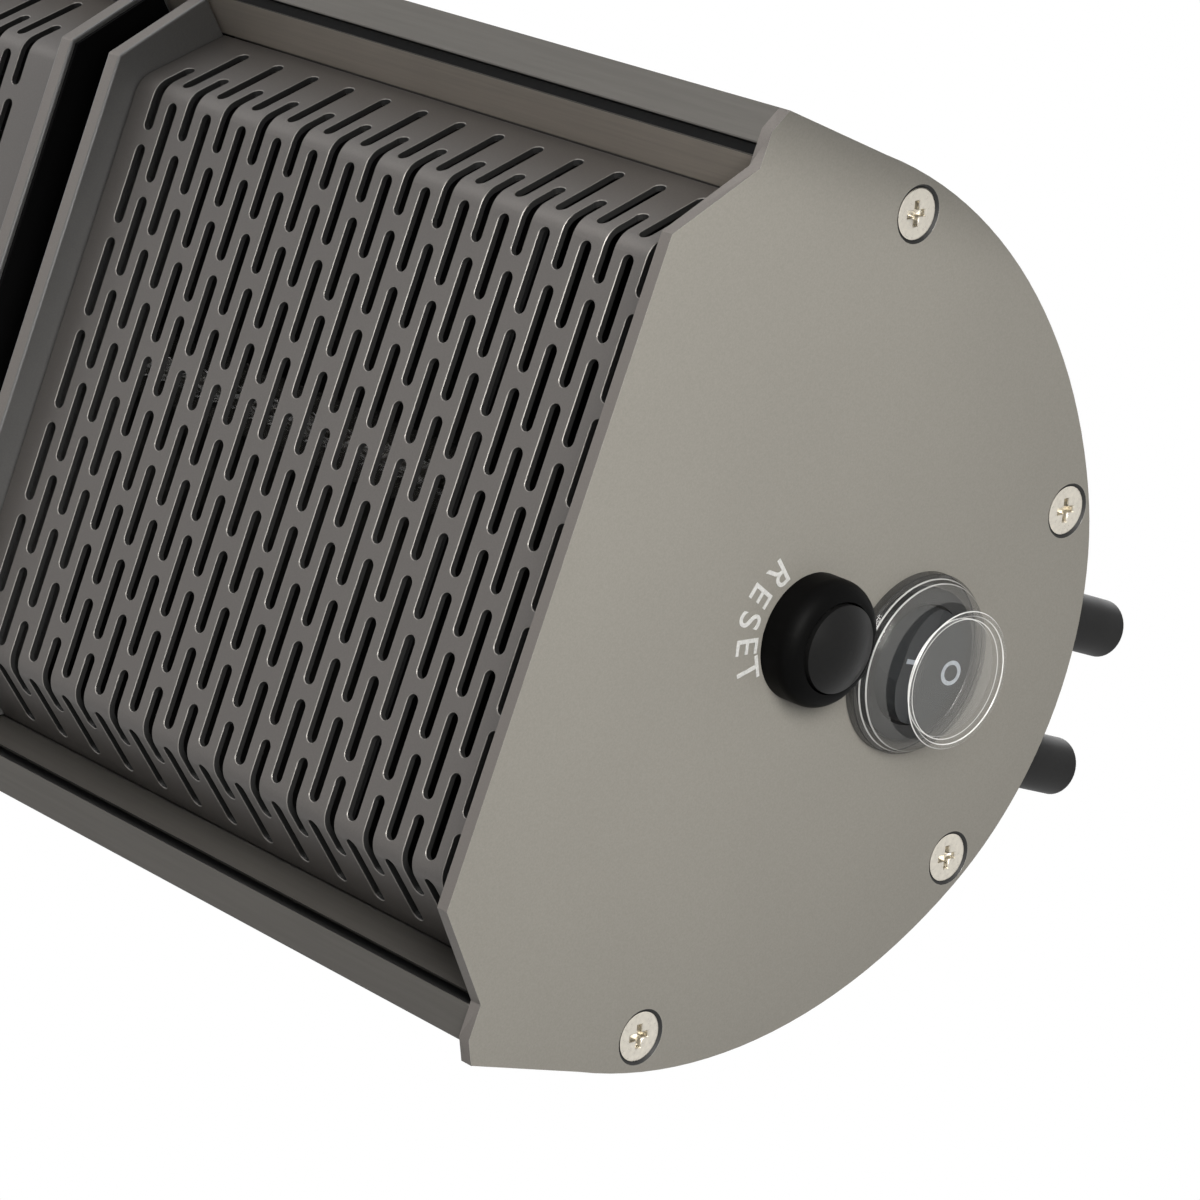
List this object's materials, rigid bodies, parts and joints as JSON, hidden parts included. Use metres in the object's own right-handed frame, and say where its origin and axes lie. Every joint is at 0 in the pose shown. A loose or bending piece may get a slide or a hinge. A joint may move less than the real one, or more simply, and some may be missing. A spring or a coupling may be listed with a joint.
{
  "type": "infrared heater bar",
  "caption": "Infrared heater bar: domed aluminium housing, slotted grilles, quartz lamp in a parabolic reflector, rocker switch and reset button.",
  "frame": {"origin": "midway between the tips of the four rear posts", "axes": "+X along the bar towards the control end plate, +Y from the grilles towards the domed back and the posts' tips, +Z across the bar, up when it hangs on a wall"},
  "size_m": [0.5482, 0.1266, 0.1356],
  "materials": {
    "housing_anodised": "satin anodised",
    "plate_anodised": "bead blasted and anodised",
    "grille_anodised": "satin anodised",
    "screw_nickel": "nickel plated",
    "black_coat": "matt black coat",
    "reflector_bright": "bright rolled",
    "zinc_steel": "zinc plated",
    "quartz": "clear quartz",
    "filament": "carbon",
    "ceramic": "glazed ceramic",
    "switch_black": "moulded nylon",
    "rocker_black": "satin moulded",
    "clear_cover": "clear soft vinyl",
    "button_black": "matt rubber",
    "boot_rubber": "matt rubber",
    "post_black": "matt black",
    "brass": "brass",
    "gland_black": "moulded nylon",
    "lead_brown": "silicone sleeve",
    "lead_red": "silicone sleeve",
    "lead_grey": "silicone sleeve",
    "lead_green": "silicone sleeve"
  },
  "bodies": {
    "heater": {"housing": "housing_anodised", "control_end_plate": "plate_anodised", "supply_end_plate": "plate_anodised", "end_plate_screws": "screw_nickel", "grille_1": "grille_anodised", "grille_2": "grille_anodised", "grille_3": "grille_anodised", "grille_4": "grille_anodised", "divider_plate_1": "plate_anodised", "divider_plate_2": "plate_anodised", "divider_plate_3": "plate_anodised", "divider_plate_4": "plate_anodised", "divider_plate_5": "plate_anodised", "divider_plate_6": "plate_anodised", "divider_strip_1": "black_coat", "divider_strip_2": "black_coat", "divider_strip_3": "black_coat", "reflector": "reflector_bright", "control_bulkhead": "zinc_steel", "supply_bulkhead": "zinc_steel", "quartz_tube": "quartz", "heating_filament": "filament", "lamp_caps": "ceramic", "lamp_holders": "ceramic", "switch_body": "switch_black", "switch_cover": "clear_cover", "reset_breaker": "switch_black", "reset_boot": "boot_rubber", "standoff_posts": "post_black", "standoff_nuts": "zinc_steel", "terminal_block": "ceramic", "terminal_screws": "brass", "cable_gland": "gland_black", "gland_seal": "boot_rubber", "gland_nut": "gland_black", "earth_stud": "brass", "supply_leads": "lead_brown", "switched_lead": "lead_red", "breaker_lead": "lead_red", "lamp_lead": "lead_red", "neutral_lead": "lead_grey", "earth_lead": "lead_green"},
    "rocker": {"switch_rocker": "rocker_black"},
    "reset": {"reset_button": "button_black"}
  },
  "joints": [
    {"name": "rocker_tilt", "type": "hinge", "parent": "heater", "child": "rocker", "pos_m": [0.2594, -0.0502, 0], "axis": [0, 0, -1], "range_deg": [0, 18]},
    {"name": "reset_press", "type": "slide", "parent": "heater", "child": "reset", "axis": [-1, 0, 0], "range_m": [0, 0.002], "stiffness_N_per_m": 400, "springref_m": -0.0015}
  ]
}
